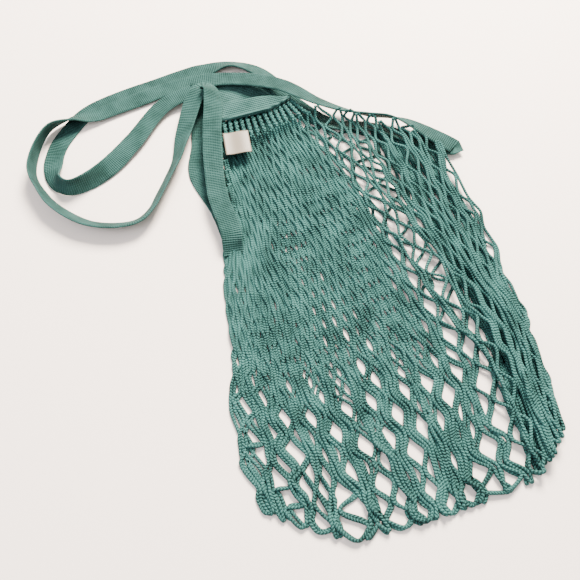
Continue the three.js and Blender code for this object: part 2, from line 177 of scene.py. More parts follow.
def knitted_cotton(name, row_pitch, wale_pitch, hollow, high, edge=None):
    """Cotton knitted in rows across the piece. Pitches are in metres. The two colours are those of its hollows and
    its high places, and the darker one is painted shade in the hollows between stitches, mixed with uneven dye. Where
    edge gives half the tape's width, the rolled edges get a painted highlight."""
    material, shader = new_material(name)
    run = add_node(material, "ShaderNodeAttribute", {"attribute_name": "run"})
    axes = add_node(material, "ShaderNodeSeparateXYZ", _0=run.outputs["Vector"])
    waves = []
    for axis, pitch in (("Y", row_pitch), ("X", wale_pitch)):
        turns = add_node(material, "ShaderNodeMath", {"operation": "MULTIPLY"},
                         _0=axes.outputs[axis], _1=2 * math.pi / pitch)
        waves.append(add_node(material, "ShaderNodeMath", {"operation": "SINE"}, _0=turns.outputs[0]).outputs[0])
    weave = add_node(material, "ShaderNodeMath", {"operation": "MULTIPLY_ADD"}, _0=waves[1], _1=wale_share,
                     _2=waves[0])
    place = add_node(material, "ShaderNodeTexCoord").outputs["Object"]
    fluff = add_node(material, "ShaderNodeTexNoise", Vector=place, Scale=fluff_per_metre, Detail=3)
    patch = add_node(material, "ShaderNodeTexNoise", Vector=place, Scale=patch_per_metre, Detail=2)
    height = add_node(material, "ShaderNodeMath", {"operation": "MULTIPLY_ADD"},
                      _0=fluff.outputs["Fac"], _1=fluff_share, _2=weave.outputs[0])
    # The tone mixes painted shade in the stitch hollows with uneven dye.
    tone = add_node(material, "ShaderNodeMath", {"operation": "MULTIPLY_ADD"},
                    _0=weave.outputs[0], _1=painted_stitch_shade, _2=patch.outputs["Fac"])
    # The rolled edges get a painted highlight, lighter towards the very edge.
    if edge:
        aside = add_node(material, "ShaderNodeMath", {"operation": "ABSOLUTE"}, _0=axes.outputs["X"])
        outward = add_node(material, "ShaderNodeMath", {"operation": "MULTIPLY"}, _0=aside.outputs[0], _1=1 / edge)
        painted_edge_mask = add_node(material, "ShaderNodeMath", {"operation": "POWER"},
                          _0=outward.outputs[0], _1=edge_sharpness)
        tone = add_node(material, "ShaderNodeMath", {"operation": "MULTIPLY_ADD"},
                        _0=painted_edge_mask.outputs[0], _1=painted_edge_light, _2=tone.outputs[0])
    tint = add_node(material, "ShaderNodeValToRGB", _0=tone.outputs[0])
    set_stops(tint, [(0.15, hollow), (0.85, high)])
    bump = add_node(material, "ShaderNodeBump", Height=height.outputs[0], Strength=0.9, Distance=stitch_depth)
    material.node_tree.links.new(tint.outputs["Color"], shader.inputs["Base Color"])
    material.node_tree.links.new(bump.outputs["Normal"], shader.inputs["Normal"])
    shader.inputs["Roughness"].default_value = cotton_roughness
    shader.inputs["Specular IOR Level"].default_value = cotton_glint
    return material


tape_width = 20  # millimetres, as all sizes below that don't say metres
tape_thick = 2
# The tape gives the eye fine dark lines across it, which are painted shade in the hollows between its rows, and a
# lighter edge, which is a painted highlight. Its real rows are about 1.5 mm apart, and they are drawn at 2.1 mm, so
# that they show at this distance.
tape_cotton = knitted_cotton(
    "rib_knitted_cotton_tape", 2.1 * MM, 2.4 * MM, "#17332F", "#355A56", edge=tape_width / 2 * MM)
print("tape finish:", tape_cotton.name, "with", len(tape_cotton.node_tree.nodes), "nodes")

# %% [markdown]
# The handle is one ring of tape, cut here where it turns under at the ends of the two armholes. It could be a cloth
# that falls into place, but then it wouldn't lie where this one lies. So it is swept along its middle line as a
# flat strip. In some places it lies flat and in others it stands on edge, so each row of the table gives a place,
# the height that the tape lies on, and how far it leans. A lean of 0 or 180 is flat, and 90 stands on edge.

# %% Routes of the two handles, in millimetres: x, y, height of the lowest edge, lean in degrees
front_handle_route = [
    # the back of the right armhole, folded round, and along its front to the mouth
    (156, -93, 0, 0), (179, -112, 4.3, 0), (162, -92, 8, 8), (141, -66, 6.5, 35), (126, -55, 5.5, 52),
    (108, -46, 5, 54), (84, -29, 6, 38), (60, -9, 10, 26), (30, 27, 13.6, 6),
    # along the mouth and out to the outer loop, whose bottom stands on edge
    (-18, 63, 5.9, 0), (-73, 74, 3.0, 0), (-145, 64, 2.7, 0), (-176, 59, 2.3, 8), (-200, 57, 2.3, 40),
    (-224, 48, 2.3, 70), (-249, 0, 0, 100), (-243, -34, 0, 113), (-233, -56, 0, 126), (-207, -85, 0, 134),
    (-176, -98, 0, 136), (-158, -98, 0, 134), (-143, -88, 0, 127), (-130, -71, 0, 126), (-117, -53, 0, 126),
    # back up to the arch beside the mouth
    (-104, -34, 0, 131), (-96, -17, 1.5, 141), (-88, -1, 5, 158), (-62, 41, 15.7, 175), (-52, 48, 15, 160),
    (-46, 39, 16, 145), (-49, 18, 16.6, 162),
    # down the left armhole, and turned under at its end
    (-61, -20, 16.6, 180), (-77, -95, 13.6, 180), (-77, -134, 13, 180), (-77.5, -148, 12.4, 180),
    (-79, -154, 9.4, 180), (-80, -160, 4, 180), (-81, -166, 1.2, 180), (-80, -162, 0, 180),
    (-77, -150, 0, 180), (-77, -146, 0, 180),
]
back_handle_to_fold = [(-77, -146, 0, 0), (-78, -112, 0, 0), (-87, -54, 0, 0), (-73, -13, 0.7, 0), (-55, 53, 4.5, 0)]
back_handle_from_fold = [
    # round the inner loop
    (-99, 47, 5.0, 0), (-142, 6, 4.3, -8), (-172, -20, 1, -35), (-196, -34, 0, -66), (-216, -37, 0, -72),
    (-227, -26, 0, -55), (-229, 0, 0, -10), (-222, 24, 0, 0), (-206, 46, 0, 0), (-178, 70, 0, 0),
    # behind the mouth, and down the back of the right armhole
    (-94, 87, 0, 0), (-39, 92, 0, 0), (-10, 87, 0, -30), (13.5, 71, 0, -20), (28, 45, 0, -15), (35, 20, 0, 0),
    (70, -38, 0, -18), (102, -52, 0, -24), (138, -79, 0, -12), (156, -93, 0, 0),
]
back_places = len(back_handle_to_fold) + len(back_handle_from_fold)
print("places on the routes:", len(front_handle_route), "front,", back_places, "back")

# %% [markdown]
# A tape bends smoothly between those places. A centripetal Catmull-Rom line goes through every one of them and
# doesn't swing out beside a short step, which a plain spline does.

# %% A smooth line through the rows of a table
UP = np.array([0.0, 0.0, 1.0])


def unit(v):
    return v / np.linalg.norm(v)


def smooth_line(rows, step):
    """A centripetal Catmull-Rom line through the rows, all their columns with it, about step apart."""
    rows = np.asarray(rows, float)
    ends = np.vstack([2 * rows[0] - rows[1], rows, 2 * rows[-1] - rows[-2]])
    line = []
    for p0, p1, p2, p3 in zip(ends, ends[1:], ends[2:], ends[3:]):
        steps = [max(np.linalg.norm((b - a)[:3]), 1e-6) ** 0.5 for a, b in ((p0, p1), (p1, p2), (p2, p3))]
        k = np.cumsum([0] + steps)
        count = max(2, round(np.linalg.norm((p2 - p1)[:3]) / step))
        for t in np.linspace(k[1], k[2], count, endpoint=False):
            a1 = p0 + (p1 - p0) * (t - k[0]) / (k[1] - k[0])
            a2 = p1 + (p2 - p1) * (t - k[1]) / (k[2] - k[1])
            a3 = p2 + (p3 - p2) * (t - k[2]) / (k[3] - k[2])
            b1 = a1 + (a2 - a1) * (t - k[0]) / (k[2] - k[0])
            b2 = a2 + (a3 - a2) * (t - k[1]) / (k[3] - k[1])
            line.append(b1 + (b2 - b1) * (t - k[1]) / (k[2] - k[1]))
    return np.array(line + [rows[-1]])


print("a test line through 3 places has", len(smooth_line([(0, 0, 0), (9, 0, 0), (9, 9, 0)], 3)), "points")

# %% [markdown]
# The sweep needs a frame at every 3 mm of the tape: where its middle is, which way it runs and which way its width
# points. The width turns from flat by the lean, and where the tape runs straight up it keeps the side that it had.

# %% Stations along a tape
def tape_stations(route, level, step=3):
    """Walks the tape's middle. Each station is its centre, the way it runs and the way its width points. level is
    the side that the width starts on."""
    rows = []
    for x, y, low, lean in route:
        tip = math.radians(lean)
        half = tape_thick / 2 * abs(math.cos(tip)) + tape_width / 2 * abs(math.sin(tip))
        rows.append((x, y, low + half, lean))
    line = smooth_line(rows, step)
    stations = []
    for k, (x, y, z, lean) in enumerate(line):
        along = unit((line[min(k + 1, len(line) - 1)] - line[max(k - 1, 0)])[:3])
        side = np.cross(along, UP)
        if np.linalg.norm(side) < 0.4:  # it runs nearly straight up
            side = level
        side = unit(side - along * side.dot(along))
        if side.dot(level) < 0:
            side = -side
        level = side
        stands = np.cross(side, along)
        if stands[2] < 0:
            stands = -stands
        tip = math.radians(lean)
        width = side * math.cos(tip) + stands * math.sin(tip)
        face = np.cross(along, width)
        low = tape_width / 2 * abs(width[2]) + tape_thick / 2 * abs(face[2])
        stations.append((np.array([x, y, max(z, low)]), along, width))
    return stations


front_stations = tape_stations(front_handle_route, unit(np.array([1.0, 1.0, 0])))
to_fold = tape_stations(back_handle_to_fold, np.array([1.0, 0, 0]))
print("stations:", len(front_stations), "on the front handle,", len(to_fold), "on the back one before its fold")

# %% [markdown]
# Under the arch the back handle turns over. Flat tape can't bend sideways, so it folds: half a turn about a level
# line on the table, and it goes on upside down in a new heading. The fold is worked out as that half turn.

# %% The fold of the back handle
fold_heading = 213  # degrees from +X, the way the tape goes on after the fold


def folded_over(start, heading_degrees, radius=1.4 * tape_thick, steps=8):
    """The tape turned flat over itself: half a turn about a level line, which mirrors its heading."""
    centre, along, width = start
    heading = math.radians(heading_degrees)
    into = unit(along * [1, 1, 0])
    axis = unit(into + [math.cos(heading), math.sin(heading), 0])
    kept = into.dot(axis)
    across = into - axis * kept
    turned = np.linalg.norm(across)
    across = across / turned
    stations = []
    for angle in np.linspace(0, math.pi, steps + 1)[1:]:
        ahead = across * math.cos(angle) + UP * math.sin(angle)
        moved = axis * radius * angle * kept / turned
        stations.append((
            centre + moved + across * radius * math.sin(angle) + UP * radius * (1 - math.cos(angle)),
            axis * kept + ahead * turned,
            unit(axis * width.dot(axis) + ahead * width.dot(across)),
        ))
    return stations


fold = folded_over(to_fold[-1], fold_heading)
leaving = fold[-1]
after_fold = [(*leaving[0][:2], leaving[0][2] - tape_thick / 2, 0)] + back_handle_from_fold
from_fold = tape_stations(after_fold, leaving[2])
print("the fold lifts the tape by", round(leaving[0][2] - to_fold[-1][0][2], 1), "mm")

# %% [markdown]
# Now the strip itself. A curve with a flat profile could make it, but then its stitches wouldn't know where they
# are. Every cloth piece is made from a list of points and faces instead, at the origin, and stores how far across
# and along it each point lies.

# %% The two handle tapes
def mesh_piece(name, points, faces, material, run=None):
    mesh = bpy.data.meshes.new(name)
    mesh.from_pydata([list(p) for p in np.asarray(points) * MM], [], [list(map(int, f)) for f in faces])
    if run is not None:
        attribute = mesh.attributes.new("run", "FLOAT_VECTOR", "POINT")
        attribute.data.foreach_set("vector", np.asarray(run, np.float32).ravel())
    mesh.shade_smooth()
    mesh.materials.append(material)
    piece = bpy.data.objects.new(name, mesh)
    bpy.context.collection.objects.link(piece)
    return piece


# The outline of the tape across its width: it is thickest just inside its rolled edges, and its width wanders.
across_steps = np.array([-1, -0.96, -0.88, -0.72, -0.4, 0, 0.4, 0.72, 0.88, 0.96, 1])
half_thickness = np.array([0.15, 0.75, 1.15, 0.95, 0.8, 0.8, 0.8, 0.95, 1.15, 0.75, 0.15]) * tape_thick / 2
width_wander = 0.5  # millimetres, before it is smoothed to about 0.2


def knitted_tape(name, stations):
    rng = np.random.default_rng(11)
    wander = np.convolve(rng.normal(0, 1, len(stations) + 8), np.ones(9) / 9, "valid") * width_wander
    upper = list(zip(across_steps, half_thickness))
    around = upper + [(a, -h) for a, h in upper[::-1]]
    points, run, length = [], [], 0
    for k, (centre, along, width) in enumerate(stations):
        length += np.linalg.norm(centre - stations[k - 1][0]) if k else 0
        face = unit(np.cross(along, width))
        half_width = tape_width / 2 + wander[k]
        for a, h in around:
            points.append(centre + width * a * half_width + face * h)
            run.append((a * half_width * MM, length * MM, 0))
    n = len(around)
    faces = [list(range(n)), [len(points) - 1 - k for k in range(n)]]
    for k in range(0, len(points) - n, n):
        for c in range(n):
            faces.append((k + c, k + n + c, k + n + (c + 1) % n, k + (c + 1) % n))
    piece = mesh_piece(name, points, faces, tape_cotton, run)
    print(name, "tape", round(length), "mm long,", len(points), "points")
    return piece


front_handle = knitted_tape("front_handle_tape", front_stations)
back_handle = knitted_tape("back_handle_tape", to_fold + fold + from_fold[1:])
for piece, node in ((front_handle, "front_strap"), (back_handle, "back_strap")):
    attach(piece, "root")
    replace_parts(piece, node)

# %% [markdown]
# The net is knotless: cords of chain stitch run down it in a zigzag, and each touches its left neighbour and its
# right neighbour in turn, so the mesh has no knots, only joints where two cords lie side by side. It could be a
# pattern on a sheet, but then no light would fall between the cords. So every cord is a tube of its own.
# The columns of the net start at the left armhole tape, the front band and the right tape, and end at the hem. A
# few lines down the net say where it lies, and the other columns lie between them.

# %% Lines down the net, in millimetres
half_rows = 28  # rows of joints from the mouth to the hem
columns = 31  # in one layer
# Column, start row, then x and y at the mouth, a quarter, half and three quarters down, and at the hem
front_lines = [
    (0, 8, (-70, -150), (-103, -212), (-118, -268), (-127, -330), (-128, -398)),
    (3, 4, (-62, -85), (-74, -180), (-90, -262), (-102, -345), (-103, -424)),
    (6, 0, (-54, -30), (-56, -124), (-63, -230), (-66, -343), (-58, -448)),
    (13, 0, (-6, -32), (-2, -124), (1, -230), (6, -345), (6, -453)),
    (20, 0, (44, -20), (56, -124), (66, -228), (78, -342), (76, -452)),
    (21, 0, (57, -19), (66, -124), (80, -229), (91, -341), (85, -450)),
    (22, 0, (75, -30), (78, -126), (95, -230), (104, -340), (94, -447)),
    (24, 2, (97, -46), (97, -135), (112, -232), (120, -335), (105, -441)),
    (27, 4, (127, -64), (130, -150), (133, -240), (134, -332), (118, -429)),
    (31, 8, (163, -103), (166, -180), (159, -250), (155, -325), (133, -402)),
]
back_lines = [
    (0, 8, (-74, -146), (-101, -210), (-116, -268), (-125, -330), (-127, -398)),
    (3, 4, (-82, -85), (-76, -180), (-85, -262), (-100, -345), (-102, -424)),
    (6, 0, (-46, 4), (-50, -118), (-58, -230), (-62, -343), (-58, -448)),
    (13, 0, (-8, 3), (2, -118), (8, -230), (10, -345), (6, -453)),
    (20, 0, (28, -4), (58, -118), (68, -230), (78, -345), (76, -452)),
    (21, 0, (62, -34), (66, -122), (86, -232), (94, -342), (86, -449)),
    (22, 0, (108, -50), (104, -134), (108, -235), (106, -338), (94, -447)),
    (27, 4, (132, -70), (132, -150), (134, -240), (128, -332), (117, -430)),
    (31, 8, (156, -94), (160, -180), (156, -250), (150, -325), (132, -402)),
]


def column_table(rows, column):
    """All the numbers of a table at any column, between its rows."""
    flat = np.array([np.concatenate([np.ravel(cell) for cell in row]) for row in rows], float)
    return np.stack([np.interp(column, flat[:, 0], flat[:, k]) for k in range(1, flat.shape[1])], -1)


def joint_place(lines, row, column):
    """Where the joint of that row and column lies: a smooth line down the column, in equal steps."""
    cells = column_table(lines, column)
    down = np.clip((row - cells[..., 0]) / (half_rows - cells[..., 0]), 0, 1) * 4
    k = np.minimum(down.astype(int), 3)
    t = (down - k)[..., None]
    guide = cells[..., 1:].reshape(cells.shape[:-1] + (5, 2))

    def guide_point(index):
        return np.take_along_axis(guide, np.clip(index, 0, 4)[..., None, None], -2)[..., 0, :]

    p0, p1, p2, p3 = (guide_point(k + shift) for shift in (-1, 0, 1, 2))
    return p1 + 0.5 * t * (p2 - p0 + t * (2 * p0 - 5 * p1 + 4 * p2 - p3 + t * (3 * (p1 - p2) + p3 - p0)))


print("the middle of the hem is at", joint_place(front_lines, np.array(half_rows), np.array(columns / 2)).round(1))

# %% [markdown]
# Where the net is slack, one diamond in three stands open and its neighbours close up beside it. The open ones
# lie like bricks. One rule for the whole net would look like a printed pattern, so the pattern jumps at a few
# columns and rows, a few diamonds don't follow it, and the whole mesh wanders a little.

# %% Open and closed diamonds
# How strongly the diamonds part, by column: at the mouth, a little past half way, and near the hem
parting_heights = (0, 0.58, 0.8)  # of the way down
parting = (
    [(0, 0.1, 0.15, 1.0), (5, 0.0, 0.1, 1.0), (9, 0.0, 0.05, 0.95), (17, 0.0, 0.05, 0.95), (20, 0.2, 0.4, 0.9),
     (22, 0.2, 0.8, 0.9), (25, 0.5, 0.7, 0.8), (27, 0.6, 0.4, 0.7), (31, 0.6, 0.3, 0.7)],
    [(0, 0.1, 0.15, 1.0), (5, 0.0, 0.1, 1.0), (9, 0.0, 0.05, 0.95), (17, 0.0, 0.05, 0.95), (20, 0.5, 0.7, 0.9),
     (22, 0.3, 0.6, 0.9), (24, 0.0, 0.1, 0.6), (31, 0.0, 0.1, 0.6)],
)
jump_columns, jump_rows = (5, 9, 15, 21, 26), (9, 19)
# Down to these rows, by column, open diamonds of the back layer lie under closed ones. Further down they lie under
# open ones, and the table shows through.
hidden_columns, hidden_rows = (0, 5, 9, 16, 21, 22), (14, 16, 21, 21, 12, 0)
odd_share = 0.14
edge_wander = 3.2  # millimetres, at the right edge
rng = np.random.default_rng(5)
odd_ones = rng.random((half_rows + 1, 2 * columns + 2)) < odd_share
drift = rng.normal(0, 1, (2, 9, 12))
edge_wobble = rng.normal(0, edge_wander, (2, half_rows + 1))


def parted(layer, row, column):
    """Each joint moves sideways, away from an open diamond beside it and towards a closed one."""
    strength = column_table(parting[layer], column)
    down = row / half_rows
    amount = np.array([np.interp(down, parting_heights, three) for three in strength])
    index = np.round(2 * column).astype(int)

    def opened(i):
        jumps = sum((i > 2 * c) * 2 for c in jump_columns) + sum((row > r) * 2 for r in jump_rows)
        jumps += 3 * layer * (row < np.interp(i / 2, hidden_columns, hidden_rows))
        chosen = (i - 3 * row - 3 + jumps) % 6 < 2
        spun = odd_ones[row, np.clip(i, 0, 2 * columns + 1)]
        return np.where(chosen ^ spun, 1.0, -0.5)

    return 0.5 * amount * (opened(index - 1) - opened(index + 1))


def drifted(layer, row, column):
    """A slow wander of the whole mesh, in millimetres, which grows towards the hem. It is read from the grid of
    drift, whose last row and column are only just not reached. Both layers share most of it."""
    u, v = row / half_rows * 7.99, column / columns * 10.99
    i, j = int(u), v.astype(int)
    field = drift[layer] * 0.5 + drift[0] * 0.8
    top = field[i, j] * (1 - v + j) + field[i, j + 1] * (v - j)
    bottom = field[i + 1, j] * (1 - v + j) + field[i + 1, j + 1] * (v - j)
    slow = (top * (1 - u + i) + bottom * (u - i)) * (0.8 + 3 * row / half_rows)
    return slow + edge_wobble[layer, row] * np.clip(column - columns + 2, 0, 1)


print("diamonds that don't follow the pattern:", int(odd_ones.sum()), "of", odd_ones.size)

# %% [markdown]
# The cord of the real net is about 3 mm thick. Each line of it starts at a tape or a band, at that piece's height.
# At the bands, two lines leave the seam as a twisted pair.

# %% Sizes of the cords, in millimetres
cord_radius = 1.55
strut_steps = 6  # samples of a cord between two joints, which are about 15 mm apart
leg_steps = 14  # samples of the twisted pairs under the bands
joint_gap = 2.2  # between the middles of two cords at their joint, where they press into each other
# How high the cords start at the mouth, in millimetres, by column
front_start_height = [(0, 6), (3, 10), (6, 11.2), (20, 11.2), (21, 19), (23, 21), (27, 20.5), (29, 15), (31, 9.5)]
back_start_height = 2.0
band_columns = (6, 20)  # the first and the last column that start at a band
# Where the legs leave the seams of the bands: column, x, y
leg_tops = ([(6, -50, -2), (12, -12, -3), (17, 20, 0), (20, 35, 6)], [(6, -46, 28), (13, -10, 28), (20, 22, 18)])
leg_turns = 2.5  # of a pair round each other
samples = leg_steps + half_rows * strut_steps + 1
cords = 2 * columns  # lines of cord in a layer, of which two at a time turn into each other at the hem
number = np.arange(cords)
print("cords in a layer:", cords, "with", samples, "samples each")

# %% [markdown]
# Now the cords run from joint to joint. Straight lines between the joints would look like wire, so a cord bends
# like an S there. At the hem it turns in a round loop into its neighbour, and under the bands the two cords of a
# pair twist round each other up to the seam.

# %% Cords from joint to joint
points = np.zeros((2, cords, samples, 3))
first_sample = np.zeros((2, cords), int)
moves_after = np.zeros((2, cords), int)
targets = np.zeros((2, cords, half_rows + 1, 2))
for layer, lines in enumerate((front_lines, back_lines)):
    joints = np.zeros((cords, half_rows + 1, 2))
    for row in range(half_rows + 1):
        even = row % 2 == 0
        column = (number + number % 2) / 2 if even else (number + 1 - number % 2) / 2
        column = np.clip(column, 0, columns)
        moved = np.clip(column + parted(layer, row, column), 0, columns)
        place = joint_place(lines, row, moved)
        beside = 1 if even else -1
        place[:, 0] += drifted(layer, row, moved) + joint_gap / 2 * beside * np.where(number % 2 == 0, 1, -1)
        joints[:, row] = place
    # Two cords that meet at the hem are one cord, which turns there in a round loop.
    joints[1:-1:2, -1] = joints[2::2, -1] = (joints[1:-1:2, -1] + joints[2::2, -1]) / 2
    targets[layer] = joints
    even_steps = np.linspace(0, 1, strut_steps, endpoint=False)
    ease = even_steps * even_steps * (3 - 2 * even_steps)
    hem_turn = np.stack([1 - np.cos(even_steps * math.pi / 2), np.sin(even_steps * math.pi / 2)], -1)
    for row in range(half_rows):
        start = leg_steps + row * strut_steps
        span = joints[:, row + 1] - joints[:, row]
        shape = np.stack([ease, even_steps], -1) if row < half_rows - 1 else hem_turn
        points[layer, :, start:start + strut_steps, :2] = joints[:, row, None] + span[:, None] * shape[None]
    points[layer, :, -1, :2] = joints[:, -1]
    # Band columns start with a leg, where the two cords of a pair twist round each other.
    attach_column = (number + number % 2) / 2
    start_row = 2 * np.round(column_table(lines, attach_column)[:, 0] / 2).astype(int)
    moves_after[layer] = leg_steps + start_row * strut_steps
    first_sample[layer] = moves_after[layer]
    for cord in np.flatnonzero((attach_column >= band_columns[0]) & (attach_column <= band_columns[1])):
        first_sample[layer, cord] = 0
        seam = column_table(leg_tops[layer], attach_column[cord])
        foot = joint_place(lines, np.array(0), np.array(attach_column[cord]))
        foot = foot + [drifted(layer, 0, attach_column[cord:cord + 1])[0], 0]
        down = np.linspace(0, 1, leg_steps + 1)[:-1, None]
        twist = 2 * math.pi * down * leg_turns + (math.pi if cord % 2 else 0)
        points[layer, cord, :leg_steps, :2] = seam + (foot - seam) * down
        points[layer, cord, :leg_steps, 0] += joint_gap / 2 * np.cos(twist[:, 0])
        points[layer, cord, :leg_steps, 2] = joint_gap / 2 * np.sin(twist[:, 0])
    start_height = np.interp(attach_column, *np.array(front_start_height).T)[:, None]
    points[layer, ..., 2] += start_height if layer == 0 else back_start_height

print("cords:", 2 * cords, "samples:", points.size // 3)

# %% [markdown]
# Cords drawn in a given shape would pass through each other. A full cloth simulation would part them, but it
# would also move the net away from where this one lies. So the net is laid down in small steps, worked out here,
# that part the cords and keep them near their places. First each cord gets its length, the part of it that is
# free to move, and a little sway, as soft cord has.

# %% Lengths and free parts of the cords
slack = 1.03  # a cord is a little longer than the line drawn for it
sway_size = [1.1, 0.4, 1.6]  # millimetres across the net, along it and up
sway_reach = 5  # samples, so that one sway goes on over a joint or two
rest_length = np.linalg.norm(np.diff(points, axis=2), axis=-1, keepdims=True) * slack
use = np.arange(samples)[None, None, :] > moves_after[..., None]
held = points.copy()
sway = rng.normal(0, 1, points.shape)
spread = np.exp(-0.5 * (np.arange(-12, 13) / sway_reach) ** 2)
sway = np.apply_along_axis(lambda line: np.convolve(line, spread / np.linalg.norm(spread), "same"), 2, sway)
points[use] += (sway * sway_size)[use]
print("free samples:", int(use.sum()), "of", use.size)

# %% [markdown]
# Two moves do the work. The first pulls two sets of points towards the distance that they should have. It keeps
# the length of a cord, and it holds two cords together at their joints.

# %% Pulling together
def pull_together(a, b, free_a, free_b, wanted, stiffness):
    """Moves two sets of points towards the wanted distance from each other."""
    gap = b - a
    distance = np.maximum(np.linalg.norm(gap, axis=-1, keepdims=True), 1e-6)
    change = stiffness * (distance - wanted) / distance * gap
    share = free_a + free_b
    share[share == 0] = 1
    a += change * (free_a / share)[..., None]
    b -= change * (free_b / share)[..., None]


pair = np.array([[0.0, 0, 0], [4.0, 0, 0]])
pull_together(pair[:1], pair[1:], np.ones(1), np.ones(1), wanted=2, stiffness=0.5)
print("two points 4 mm apart, pulled half way to 2 mm, are", pair[1, 0] - pair[0, 0], "mm apart")

# %% [markdown]
# The other move pushes cords apart that overlap, the front layer always above the back one. To compare every pair
# of points would take too long, so the points are sorted into cells as wide as a cord is thick.

# %% Pushing apart
cells_wide = 2000  # more cells than the net covers, so that each one gets a number of its own
cell_points = 10  # at most this many points of a cell are compared with one point
layer_lift = 0.4  # millimetres by which the front layer is lifted more off the back one


def push_apart(points, use):
    """Finds points of different cords that are nearer than one cord's thickness, and parts them."""
    index = np.argwhere(use)
    p = points[use]
    reach = 2 * cord_radius
    cell = np.floor(p[:, :2] / reach).astype(np.int64) + cells_wide // 4
    key = cell[:, 0] * cells_wide + cell[:, 1]
    order = np.argsort(key, kind="stable")
    p, index, key = p[order], index[order], key[order]
    move = np.zeros_like(p)
    hits = np.zeros(len(p))
    # A point is compared with its own cell and with half of the cells around, which covers each pair once.
    for shift in (0, 1, cells_wide - 1, cells_wide, cells_wide + 1):
        first = np.searchsorted(key, key + shift, "left")
        last = np.searchsorted(key, key + shift, "right")
        if shift == 0:
            first = np.arange(len(key)) + 1
        for k in range(int(min(cell_points, (last - first).max()))):
            i = np.flatnonzero(first + k < last)
            j = first[i] + k
            away = p[i] - p[j]
            cords_between = np.abs(index[i, 1] - index[j, 1])
            near = (index[i, 0] == index[j, 0]) & (np.abs(index[i, 2] - index[j, 2]) < 4)
            at_joint = np.abs((index[i, 2] - leg_steps + 1) % strut_steps - 1) < 2
            same = near & ((cords_between < 1) | (cords_between == 1) & at_joint)
            other = index[i, 0] != index[j, 0]
            above = np.where(index[i, 0] == 0, 1.0, -1.0)
            away[other, 2] = np.abs(away[other, 2]) * above[other] + layer_lift * above[other]
            distance = np.linalg.norm(away, axis=1)
            close = (distance < reach) & ~same & (distance > 1e-6)
            i, j, away, distance = i[close], j[close], away[close], distance[close]
            change = away * ((reach - distance) / distance * 0.5)[:, None]  # each of the two moves half the way
            for axis in range(3):
                move[:, axis] += np.bincount(i, change[:, axis], len(p)) - np.bincount(j, change[:, axis], len(p))
            hits += np.bincount(i, minlength=len(p)) + np.bincount(j, minlength=len(p))
    # A point with many neighbours would jump too far.
    p += move / np.maximum(1, hits * 0.6)[:, None]
    points[tuple(index.T)] = p


start_clashes = points.copy()
push_apart(start_clashes, use)
print("samples that overlap at the start:", int((np.abs(start_clashes - points).max(axis=-1) > 0).sum()))

# %% [markdown]
# Each round lets every cord sink a little, keeps its length, takes out its kinks, holds its joints together and
# near their places, pushes overlapping cords apart, and keeps all above the table.

# %% Lay the net down
rounds = 110
sinking = 0.10  # millimetres in each round
length_hold, joint_hold, place_hold = 0.8, 0.6, 0.06  # how much of an error one round mends
hem_gap = 0.1  # two cords at the hem are one cord, so they meet
joint_reach = 1  # samples on each side that a joint holds together
# By the right armhole the front layer bulges up and doesn't touch the back one.
bulge, bulge_column, bulge_row, bulge_rows = 11, 22, 6, 6
rows_down = (np.arange(samples) - leg_steps) / strut_steps
bulge_across = np.clip((number[:, None] / 2 - bulge_column) / 3, 0, 1)
lowest = np.full(points.shape[:3], cord_radius)
lowest[0] += bulge * bulge_across * np.exp(-((rows_down[None] - bulge_row) / bulge_rows) ** 2)
free = use.astype(float)


def ease_bends(share):
    """Moves each free sample towards the middle of the two beside it."""
    bend = points[:, :, :-2] + points[:, :, 2:] - 2 * points[:, :, 1:-1]
    points[:, :, 1:-1] += share * bend * use[:, :, 1:-1, None]


for _ in range(rounds):
    points[..., 2] -= sinking
    for start in (0, 1, 0, 1):
        a = (slice(None), slice(None), slice(start, -1, 2))
        b = (slice(None), slice(None), slice(start + 1, None, 2))
        pull_together(points[a], points[b], free[a], free[b], rest_length[:, :, start::2], length_hold)
    ease_bends(0.12)
    for row in range(half_rows + 1):
        first = 1 if row % 2 == 0 else 0
        gap = hem_gap if row == half_rows else joint_gap
        joint = leg_steps + row * strut_steps
        for sample in range(joint - joint_reach, joint + joint_reach + 1):
            if sample >= samples or (row == half_rows and sample < joint):
                continue
            a = (slice(None), slice(first, cords - first, 2), sample)
            b = (slice(None), slice(first + 1, cords, 2), sample)
            pull_together(points[a], points[b], free[a], free[b], gap, joint_hold)
        points[:, :, joint, :2] += place_hold * (targets[:, :, row] - points[:, :, joint, :2])
    push_apart(points, use)
    points[..., 2] = np.maximum(points[..., 2], lowest)
    points[~use] = held[~use]
for _ in range(2):
    ease_bends(0.25)
points[..., 2] = np.maximum(points[..., 2], cord_radius)
print("net laid:", rounds, "rounds, highest cord", round(points[use][:, 2].max(), 1), "mm")

# %% [markdown]
# Each cord is a fine chain stitch. Its V-shaped loops are about 2 mm long on the real cord. Knitting them as
# geometry would make thousands of loops that are too small to see, so they are waves in the finish. Every point
# of a cord carries how far round and how far along it lies.

# %% Chain-stitch cotton finish
chain_pitch = 2.6 * MM  # the length of a loop, a little coarser than the real one, so that it shows
chain_slant = 4.2  # how far the arms of a V lean, in radians of the wave from the cord's middle to its side
# Painted shade: between the loops the cord is painted darker, as the shade that falls there.
painted_loop_shade = 0.24  # how much darker it is between the loops
cord_fluff_share = 2.0  # how high the fluff stands, where the loops stand 1
cord_fluff_per_metre = 700  # loose fibres, about 1.4 mm apart
cord_patch_per_metre = 45  # uneven dye and wear, about 22 mm across


